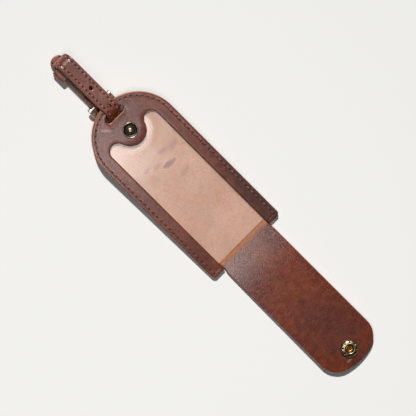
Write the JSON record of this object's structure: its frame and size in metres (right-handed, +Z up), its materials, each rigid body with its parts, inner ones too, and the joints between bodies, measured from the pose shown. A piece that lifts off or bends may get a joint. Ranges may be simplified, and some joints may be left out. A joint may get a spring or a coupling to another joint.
{
  "type": "luggage tag",
  "caption": "Leather luggage tag with a clear window, a long flap that folds over and snaps shut, and a buckled strap looped through its slot.",
  "frame": {"origin": "on the table, under the middle of the whole tag, flap and strap as laid out", "axes": "+Y along the tag towards its strap, +Z up, +X to the right of the tag seen from above"},
  "size_m": [0.056, 0.2602, 0.0136],
  "materials": {
    "leather_face": "oiled pull-up leather, satin",
    "leather_back": "oiled leather, tan flesh side inside the window",
    "leather_strap": "oiled pull-up leather, satin",
    "clear_sheet": "clear soft vinyl",
    "thread": "waxed thread",
    "antique_brass": "aged brass",
    "bright_brass": "worn brass",
    "nickel": "satin nickel plate"
  },
  "bodies": {
    "tag": {"front_panel": "leather_face", "back_panel": "leather_back", "window_sheet": "clear_sheet", "stitching_front": "thread", "stitching_back": "thread", "snap_stud": "antique_brass", "stud_post": "bright_brass"},
    "flap": {"flap_outer": "leather_face", "flap_lining": "leather_face", "snap_socket": "antique_brass", "socket_spring": "bright_brass", "snap_cap": "antique_brass"},
    "strap": {"strap_outer": "leather_strap", "strap_lining": "leather_strap", "strap_stitching": "thread"},
    "keeper": {"keeper_loop": "leather_strap", "keeper_stitch": "thread"},
    "buckle": {"buckle_frame": "nickel", "buckle_bar": "nickel"},
    "prong": {"buckle_prong": "nickel"}
  },
  "joints": [
    {"name": "flap_fold", "type": "hinge", "parent": "tag", "child": "flap", "pos_m": [0, -0.02661, 0.00579], "axis": [-1, 0, 0], "range_deg": [0, 175.35]},
    {"name": "strap_swing", "type": "hinge", "parent": "tag", "child": "strap", "pos_m": [0, 0.0856, 0.0088], "axis": [1, 0, 0], "range_deg": [-3, 3]},
    {"name": "keeper_slide", "type": "slide", "parent": "strap", "child": "keeper", "axis": [0, 1, 0], "range_m": [-0.01, 0]},
    {"name": "buckle_tilt", "type": "hinge", "parent": "strap", "child": "buckle", "pos_m": [-0.0012, 0.09161, 0.00595], "axis": [1, 0, 0], "range_deg": [-1, 3]},
    {"name": "prong_pivot", "type": "hinge", "parent": "buckle", "child": "prong", "pos_m": [-0.0012, 0.09161, 0.00595], "axis": [1, 0, 0], "range_deg": [0, 5]}
  ]
}
